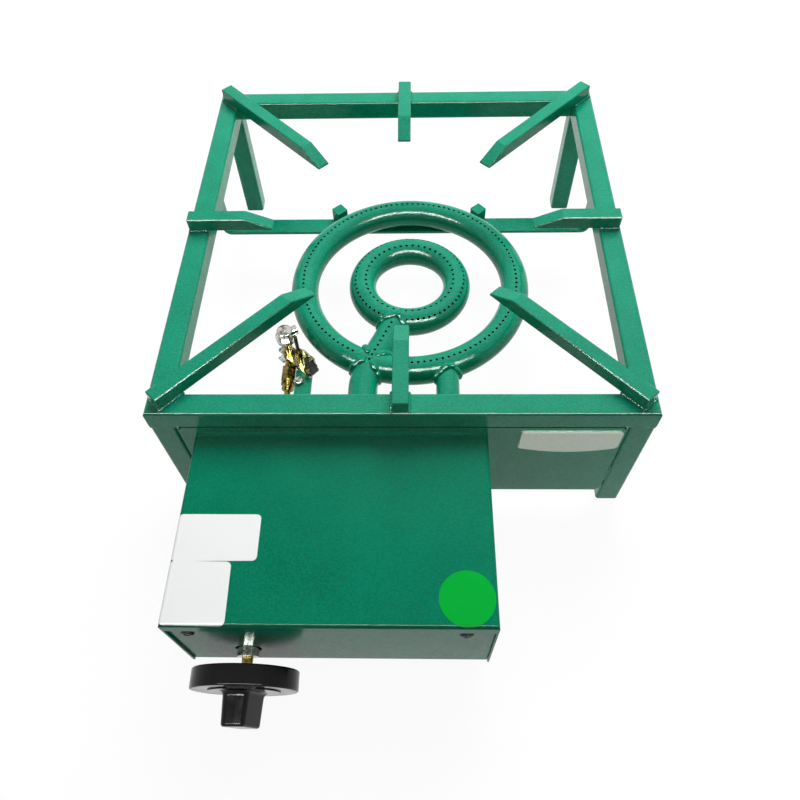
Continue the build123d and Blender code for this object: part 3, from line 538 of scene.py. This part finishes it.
def drilled(name, node, drills, voxel=None):
    """Replaces the pipe by a copy, evened out if need be, with the drills taken out of its wall."""
    pipe = copy_node(name, node)
    if voxel:
        apply_modifier(pipe, "REMESH", mode="VOXEL", voxel_size=voxel)
        apply_modifier(pipe, "SMOOTH", factor=smoothing, iterations=feed_rounds)
    # Each drill leaves its near-black painted shade on the walls of the port that it cuts.
    for drill in drills:
        apply_modifier(pipe, "BOOLEAN", object=drill, solver="EXACT", material_mode="TRANSFER")
        bpy.data.objects.remove(drill)
    pipe.material_slots[0].material = tube_paint
    finish_mesh(pipe, "stove")
    if not voxel:
        apply_modifier(
            pipe,
            "DATA_TRANSFER",
            object=nodes[node],
            use_loop_data=True,
            data_types_loops={"CUSTOM_NORMAL"},
            loop_mapping="POLYINTERP_NEAREST",
        )
    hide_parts(node)


outer_drill = ring_drill("outer_drill", outer_ring_radius, outer_ports, 0)
pick("VERT", lambda point: hypot(point.x - crossing.x, point.y - crossing.y) < crossing_gap)
bpy.ops.mesh.select_linked()
bpy.ops.mesh.delete(type="VERT")
bpy.ops.object.mode_set(mode="OBJECT")
drilled("outer_ring_drilled", "outer_ring", [outer_drill])

outward_drill = ring_drill("outward_drill", inner_ring_radius, outward_ports, outward_tilt)
bpy.ops.object.mode_set(mode="OBJECT")
inward_drill = ring_drill("inward_drill", inner_ring_radius, inward_ports, inward_tilt)
bpy.ops.object.mode_set(mode="OBJECT")
drilled("inner_ring_drilled", "inner_ring", [outward_drill, inward_drill])

feed_drill = start_drill("feed_drill", feed_port_first + upward * pipe_radius, upward)
port_step = (feed_port_last - feed_port_first) / (feed_ports - 1)
for number in range(feed_ports - 1):
    bpy.ops.mesh.duplicate_move(TRANSFORM_OT_translate={"value": port_step})
bpy.ops.object.mode_set(mode="OBJECT")
drilled("inner_feed_drilled", "inner_feed_tube", [feed_drill], voxel=feed_voxel)
wear(tube_paint, "outer_feed_tube")

# ---- Welds of the burner: thick rough beads where the feed tubes meet and cross the rings,
# softened by the paint.

burner_bead = {"radius": 0.0038, "voxel": 0.0008, "rounds": 12}
feed_run = Vector((0.4147, 0.9100, 0))
outer_feed_run = Vector((0, 1, 0))
inner_meeting = Vector((-0.0055, 0.0507, 0.0755))
outer_meeting = Vector((0.0410, -0.00271, 0.0755))
outer_feed_radius = 0.01065
seam_step = 0.0003
round_the_tube = range(0, 360, 8)
round_the_outer_tube = range(0, 360, 10)
crossing_open = 20
beside_the_crossing = [
    turn for turn in round_the_tube if crossing_open < turn < 360 - crossing_open
]


def inside_ring(point, ring_radius):
    out_of_middle = hypot(point.x - burner_centre.x, point.y - burner_centre.y) - ring_radius
    return hypot(out_of_middle, point.z - burner_centre.z) < pipe_radius


def seam(meeting, run, tube_radius, ring_radius, turns):
    """Where a tube that runs this way comes out of the ring, at each turn round the tube."""
    beside = run.cross(upward)
    found = []
    for turn in turns:
        spoke = beside * sin(radians(turn)) + upward * cos(radians(turn))
        place = meeting + spoke * tube_radius
        while inside_ring(place, ring_radius):
            place = place + run * seam_step
        found.append(place)
    return found


inner_seam = seam(inner_meeting, -feed_run, pipe_radius, inner_ring_radius, round_the_tube)
lay_bead("weld_inner_feed", inner_seam, **burner_bead)
for side, way in (("front", -feed_run), ("back", feed_run)):
    cross_seam = seam(crossing, way, pipe_radius, outer_ring_radius, beside_the_crossing)
    lay_bead("weld_crossing_" + side, cross_seam, **burner_bead)
outer_seam = seam(
    outer_meeting,
    -outer_feed_run,
    outer_feed_radius,
    outer_ring_radius,
    round_the_outer_tube,
)
lay_bead("weld_outer_feed", outer_seam, **burner_bead)

# ---- Front plate of sheet steel between the front legs, tacked to each leg by one short weld and
# painted with the frame, and a plain silver nameplate with a bevelled rim.

plate_face = -0.103262
tack_x = 0.17935
tack_low = 0.041
tack_high = 0.063
tack_depth = 0.0006
tack_radius = 0.0011
tack_pitch = 0.001
tack_voxel = 0.0004
tag_left = 0.095
tag_right = 0.177
tag_top = 0.125
tag_shoulder = 0.0995
tag_bottom = 0.093
tag_parts = 12
tag_corner = 0.0032
tag_gap = 0.00005
tag_thickness = 0.0007
tag_rim = 0.0011
tag_rim_rise = 0.6
pick_distance = 0.0005
silver = (0.34, 0.38, 0.32, 1)
silver_shade = (0.28, 0.32, 0.27, 1)
scorched = (0.016, 0.014, 0.012, 1)
unburnt = (8.0, 9.0)
stain_span = (0.42, 0.66)
worn_span = (0.35, 0.7)
tooth_span = (0.35, 0.65)

wear(tube_paint, "front_plate")
for side, x in (("left", -tack_x), ("right", tack_x)):
    low = Vector((x, plate_face + tack_depth, tack_low))
    high = Vector((x, plate_face + tack_depth, tack_high))
    lay_bead("weld_plate_" + side, along(low, high, tack_pitch), tack_radius, tack_voxel)

# Metal skin: clean metal clouded by a darker tarnish, with a fine tooth that scatters its shine,
# and scorched from one height up to another.
skin, place, given, made = make_group(
    "metal_skin",
    [
        ("Clean", COLOUR, silver),
        ("Tarnish", COLOUR, silver_shade),
        ("Scorched", COLOUR, scorched),
        ("Stain Size", NUMBER, 160),
        ("Tooth", NUMBER, 2600),
        ("Gloss Low", NUMBER, 0.2),
        ("Gloss High", NUMBER, 0.4),
        ("Burnt From", NUMBER, unburnt[0]),
        ("Burnt To", NUMBER, unburnt[1]),
    ],
)
stain = noise(skin, place, given["Stain Size"], detail=5)
tooth = noise(skin, place, given["Tooth"], detail=2)
apart = skin.nodes.new("ShaderNodeSeparateXYZ")
skin.links.new(place, apart.inputs[0])
metal = blended(skin, spread(skin, stain, *stain_span), given["Clean"], given["Tarnish"])
burnt = spread(skin, apart.outputs["Z"], given["Burnt From"], given["Burnt To"])
skin.links.new(blended(skin, burnt, metal, given["Scorched"]), made["Color"])
worn = spread(skin, stain, *worn_span, 0.0, 0.5)
scattered = spread(skin, tooth, *tooth_span, 0.0, 0.5)
dulled = joined(skin, "ADD", worn, scattered)
gloss = spread(skin, dulled, 0.0, 1.0, given["Gloss Low"], given["Gloss High"])
skin.links.new(gloss, made["Roughness"])
skin.links.new(tooth, made["Height"])


def make_metal(name, clean, tarnish, stain_size, gloss, bump, burnt=unburnt, **plain):
    """A metal with this skin, its gloss and its burnt heights each given from low to high."""
    values = {"Clean": clean, "Tarnish": tarnish, "Stain Size": stain_size}
    values["Gloss Low"], values["Gloss High"] = gloss
    values["Burnt From"], values["Burnt To"] = burnt
    return make_finish(name, skin, values, bump=bump, **plain)


tag_metal = make_metal(
    "tag_metal",
    silver,
    silver_shade,
    stain_size=900,
    gloss=(0.34, 0.44),
    bump=0.02,
    metallic=1.0,
)
tag_width = tag_right - tag_left
tag_middle = (tag_left + tag_right) / 2
bpy.ops.mesh.primitive_plane_add(
    size=tag_width,
    location=(tag_middle, plate_face - tag_gap, tag_top - tag_width / 2),
    rotation=(pi / 2, 0, 0),
)
tag = settle("nameplate", tag_metal)
pick("VERT", lambda point: point.z < tag_top - pick_distance)
bpy.ops.transform.translate(value=(0, 0, tag_width - (tag_top - tag_shoulder)))
low_edge = tag_shoulder + pick_distance
pick("EDGE", lambda point: point.z < low_edge)
bpy.ops.mesh.subdivide(number_cuts=tag_parts - 1)
for number in range(1, tag_parts):
    spot = tag_left + tag_width * number / tag_parts
    sag = (tag_shoulder - tag_bottom) * (1 - ((spot - tag_middle) / (tag_width / 2)) ** 2)
    pick("VERT", lambda point: abs(point.x - spot) < pick_distance and point.z < low_edge)
    bpy.ops.transform.translate(value=(0, 0, -sag))
pick("VERT", lambda point: abs(abs(point.x - tag_middle) - tag_width / 2) < pick_distance)
bpy.ops.mesh.bevel(offset=tag_corner, affect="VERTICES", segments=5)
bpy.ops.mesh.select_all(action="SELECT")
bpy.ops.mesh.extrude_region_move(TRANSFORM_OT_translate={"value": (0, -tag_thickness, 0)})
bpy.ops.mesh.inset(thickness=tag_rim, depth=tag_rim * tag_rim_rise)
bpy.ops.mesh.select_all(action="SELECT")
bpy.ops.mesh.normals_make_consistent(inside=False)
finish_mesh(tag, "stove", smooth=20)

# ---- Control box of folded sheet steel, painted a deeper green that is partly painted shade, the
# frame's green darkened for the lesser light on the box: body with turned lips, floor with air
# slots, and the front panel held by two low black screws with a cross in the head.

# The box's green and its dark flecks are the frame's paint darkened: painted shade for the lesser
# light that falls on the box.
shaded_sheet_green = (0.001, 0.250, 0.135, 1)
shaded_sheet_dark = (0.000, 0.130, 0.067, 1)
sheet_grain = 620
sheet_clouds = 22
screw_black = (0.010, 0.011, 0.010, 1)
screw_dust = (0.030, 0.032, 0.029, 1)
screw_spots = {"left": -0.1507, "right": 0.0481}
screw_height = 0.100
screw_seat = -0.255562
screw_dome = 0.0026
screw_press = 0.55
cross_length = 0.0052
cross_width = 0.0011
cross_depth = 0.0016
cross_turns = (0.5, 0.5 + pi / 2)
notch_bevel = 0.00015

# The box's paint: a darker copy of the frame's coat, its darkness painted shade.
shaded_sheet_paint = make_finish(
    "shaded_sheet_paint",
    coat,
    {"Light": shaded_sheet_green, "Dark": shaded_sheet_dark, "Grain": sheet_grain, "Clouds": sheet_clouds},
    bump=0.4,
    specular_ior_level=0.05,
    coat_ior=1.3,
    coat_roughness=0.08,
)
wear(shaded_sheet_paint, "box_body", "box_floor", "front_panel")
black_steel = make_metal(
    "black_steel",
    screw_black,
    screw_dust,
    stain_size=500,
    gloss=(0.25, 0.5),
    bump=0.1,
    specular_ior_level=0.2,
)


def notched(name, node, finish, middle, axis, size, turns, press=1.0):
    """Replaces a screw by a copy with slots cut across its head at these turns round its axis,
    and the head pressed to this share of its height off the front panel."""
    screw = copy_node(name, node)
    for turn in turns:
        bpy.ops.mesh.primitive_cube_add(size=1, location=middle)
        notch = bpy.context.object
        notch.scale = size
        notch.rotation_euler = axis.to_track_quat("Z", "Y").to_euler()
        notch.rotation_euler.rotate_axis("Z", turn)
        settle(name + "_notch", finish)
        bpy.ops.mesh.bevel(offset=notch_bevel, segments=1, affect="EDGES")
        bpy.ops.object.mode_set(mode="OBJECT")
        choose(screw)
        apply_modifier(screw, "BOOLEAN", object=notch, solver="EXACT")
        bpy.data.objects.remove(notch)
    screw.material_slots[0].material = finish
    bpy.ops.object.mode_set(mode="EDIT")
    bpy.ops.mesh.select_all(action="SELECT")
    bpy.ops.transform.resize(value=(1, press, 1), center_override=(0, screw_seat, 0))
    finish_mesh(screw, "stove")
    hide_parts(node)


for side, spot in screw_spots.items():
    notched(
        "cross_screw_" + side,
        "panel_screw_" + side,
        black_steel,
        Vector((spot, screw_seat - screw_dome, screw_height)),
        Vector((0, -1, 0)),
        (cross_length, cross_width, cross_depth * 2),
        cross_turns,
        screw_press,
    )

# ---- Stickers on the box: two plain white ones with rounded corners at the left edge and a round
# green one at the front right. Vinyl film, pressed down over the bends of the box.

box_top = 0.123
bend_left = -0.1625
bend_right = 0.0665
bend_front = -0.2545
bend_cuts = 6
bend_cut_pitch = 0.0005
film_start = 0.004
film_thickness = 0.00018
film_corner = 0.0035
first_layer = 0.00002
second_layer = 0.00022
blank_size = 0.04
upper_film = [(-0.1652, -0.1743), (-0.1031, -0.1743), (-0.1026, -0.2103), (-0.1652, -0.2108)]
lower_film = [(-0.1652, -0.2106), (-0.1205, -0.2112), (-0.1190, -0.2567), (-0.1652, -0.2562)]
dot_centre = (0.0478, -0.2366)
dot_radius = 0.0199
dot_sides = 72
film_white = (0.96, 0.97, 0.96, 1)
film_white_shade = (0.92, 0.93, 0.92, 1)
film_green = (0.001, 0.480, 0.048, 1)
film_green_shade = (0.000, 0.430, 0.040, 1)
film_cloud_span = (0.3, 0.75)
film_gloss_span = (0.3, 0.7)
film_cloud_shade = 0.6
film_gloss = (0.34, 0.42)

# Vinyl film: an even colour with faint clouds and a soft sheen.
film, place, given, made = make_group(
    "vinyl_film",
    [("Light", COLOUR, film_white), ("Dark", COLOUR, film_white_shade), ("Clouds", NUMBER, 60)],
)
clouds = noise(film, place, given["Clouds"], detail=3)
shade = spread(film, clouds, *film_cloud_span, 0.0, film_cloud_shade)
film.links.new(blended(film, shade, given["Light"], given["Dark"]), made["Color"])
film.links.new(spread(film, clouds, *film_gloss_span, *film_gloss), made["Roughness"])
film.links.new(clouds, made["Height"])
white_film = make_finish("white_film", film, {}, bump=0.08)
green_film = make_finish(
    "green_film",
    film,
    {"Light": film_green, "Dark": film_green_shade},
    bump=0.05,
    specular_ior_level=0.02,
)


def press_film(piece, lift):
    """Cuts the film where the box bends, lays it on the box and gives it its thickness."""
    steps = [number * bend_cut_pitch for number in range(bend_cuts)]
    cuts = [((bend_left - step, 0, 0), (1, 0, 0)) for step in steps]
    cuts += [((bend_right + step, 0, 0), (1, 0, 0)) for step in steps]
    cuts += [((0, bend_front - step, 0), (0, 1, 0)) for step in steps]
    for spot, facing in cuts:
        bpy.ops.mesh.select_all(action="SELECT")
        bpy.ops.mesh.bisect(plane_co=spot, plane_no=facing)
    bpy.ops.object.mode_set(mode="OBJECT")
    apply_modifier(
        piece,
        "SHRINKWRAP",
        target=nodes["box_body"],
        wrap_method="PROJECT",
        use_project_z=True,
        use_negative_direction=True,
        use_positive_direction=False,
        offset=lift,
    )
    apply_modifier(piece, "SOLIDIFY", thickness=film_thickness, offset=1)
    finish_mesh(piece, "stove", smooth=25)


def cut_label(name, outline, finish, lift):
    """Film cut to four corners, each rounded off."""
    across = [x for x, y in outline]
    deep = [y for x, y in outline]
    middle = Vector((sum(across) / 4, sum(deep) / 4, box_top + film_start))
    bpy.ops.mesh.primitive_plane_add(size=blank_size, location=middle)
    label = settle(name, finish)
    for x, y in outline:
        near_x = middle.x + blank_size / 2 * (1 if x > middle.x else -1)
        near_y = middle.y + blank_size / 2 * (1 if y > middle.y else -1)
        pick("VERT", lambda point: hypot(point.x - near_x, point.y - near_y) < pick_distance)
        bpy.ops.transform.translate(value=(x - near_x, y - near_y, 0))
    bpy.ops.mesh.select_all(action="SELECT")
    bpy.ops.mesh.bevel(offset=film_corner, affect="VERTICES", segments=6)
    press_film(label, lift)


cut_label("upper_sticker", upper_film, white_film, first_layer)
cut_label("lower_sticker", lower_film, white_film, second_layer)
bpy.ops.mesh.primitive_circle_add(
    vertices=dot_sides,
    radius=dot_radius,
    fill_type="NGON",
    location=(*dot_centre, box_top + film_start),
)
press_film(settle("round_sticker", green_film), first_layer)

# ---- Gas valve: a brass body inside the box, its steel sleeve through the panel, the zinc plated
# push rod in its middle and the turned brass spindle that carries the knob.

brass_clean = (0.25, 0.20, 0.06, 1)
brass_dull = (0.05, 0.036, 0.008, 1)
zinc_clean = (0.52, 0.55, 0.50, 1)
zinc_dull = (0.20, 0.22, 0.20, 1)
steel_clean = (0.26, 0.28, 0.25, 1)
steel_dull = (0.07, 0.08, 0.07, 1)

brass = make_metal(
    "brass",
    brass_clean,
    brass_dull,
    stain_size=260,
    gloss=(0.06, 0.15),
    bump=0.12,
    metallic=1.0,
)
zinc = make_metal(
    "zinc",
    zinc_clean,
    zinc_dull,
    stain_size=220,
    gloss=(0.1, 0.24),
    bump=0.12,
    metallic=1.0,
)
steel = make_metal(
    "steel",
    steel_clean,
    steel_dull,
    stain_size=300,
    gloss=(0.06, 0.16),
    bump=0.1,
    metallic=1.0,
)
wear(brass, "valve_body", "valve_spindle")
wear(steel, "valve_sleeve")
wear(zinc, "valve_push_rod")

# ---- Knob of glossy black plastic, moulded in one piece with a flat round skirt and a tall grip,
# and pushed on the flat of the spindle.

knob_black = (0.0065, 0.0070, 0.0068, 1)
knob_shade = (0.0025, 0.0028, 0.0027, 1)
ripple_span = (0.3, 0.7)
knob_gloss = (0.10, 0.22)

# Moulded plastic: an even black with the slight unevenness of the mould and of handling.
moulded, place, given, made = make_group(
    "moulded_plastic",
    [("Light", COLOUR, knob_black), ("Dark", COLOUR, knob_shade), ("Ripple", NUMBER, 90)],
)
ripple = noise(moulded, place, given["Ripple"], detail=4)
shade = spread(moulded, ripple, *ripple_span)
moulded.links.new(blended(moulded, shade, given["Light"], given["Dark"]), made["Color"])
moulded.links.new(spread(moulded, ripple, *ripple_span, *knob_gloss), made["Roughness"])
moulded.links.new(ripple, made["Height"])
knob_plastic = make_finish("knob_plastic", moulded, {}, bump=0.05, specular_ior_level=0.13)
wear(knob_plastic, "knob")

# ---- Gas line in the box: the threaded inlet pipe with its locknut, the manifold pipe with two
# holders, a brass injector in front of each feed tube, and the air shutters with their screws.

wear(zinc, "inlet_pipe", "inlet_locknut", "manifold_pipe")
wear(zinc, "air_shutter_inner", "air_shutter_outer", "shutter_screw_inner", "shutter_screw_outer")
wear(brass, "injector_inner", "injector_outer")

# ---- Pilot burner on its green arm: brass body with a chromed hood, hex nut and fitting on a zinc
# plated bracket, a black clamp with a brass screw, and the brass tube back to the valve.

arm_screw_top = Vector((-0.1000, -0.00726, 0.0595))
arm_slot_size = (0.0095, 0.0014, 0.0036)
arm_slot_turn = 0.9
chrome_clean = (0.60, 0.61, 0.57, 1)
chrome_heat = (0.07, 0.06, 0.035, 1)

chrome = make_metal(
    "chrome",
    chrome_clean,
    chrome_heat,
    stain_size=190,
    gloss=(0.04, 0.12),
    bump=0.04,
    metallic=1.0,
)
wear(chrome, "pilot_hood")
wear(brass, "pilot_body", "pilot_nut", "pilot_fitting", "pilot_tube", "clamp_screw")
wear(zinc, "pilot_bracket")
wear(black_steel, "pilot_clamp")
wear(tube_paint, "pilot_arm")
notched(
    "slotted_arm_screw",
    "arm_screw",
    zinc,
    arm_screw_top,
    upward,
    arm_slot_size,
    (arm_slot_turn,),
)

# ---- Thermocouple: a brass body with a heat blackened tip beside the hood, held by the clamp, and
# its copper lead back to the valve.

tip_burnt = (0.073, 0.078)
copper_clean = (0.44, 0.24, 0.12, 1)
copper_dull = (0.14, 0.07, 0.03, 1)

sooty_brass = make_metal(
    "sooty_brass",
    brass_clean,
    brass_dull,
    stain_size=260,
    gloss=(0.08, 0.3),
    bump=0.12,
    burnt=tip_burnt,
    metallic=1.0,
)
copper = make_metal(
    "copper",
    copper_clean,
    copper_dull,
    stain_size=240,
    gloss=(0.22, 0.42),
    bump=0.08,
    metallic=1.0,
)
wear(sooty_brass, "thermocouple")
wear(copper, "thermocouple_lead")
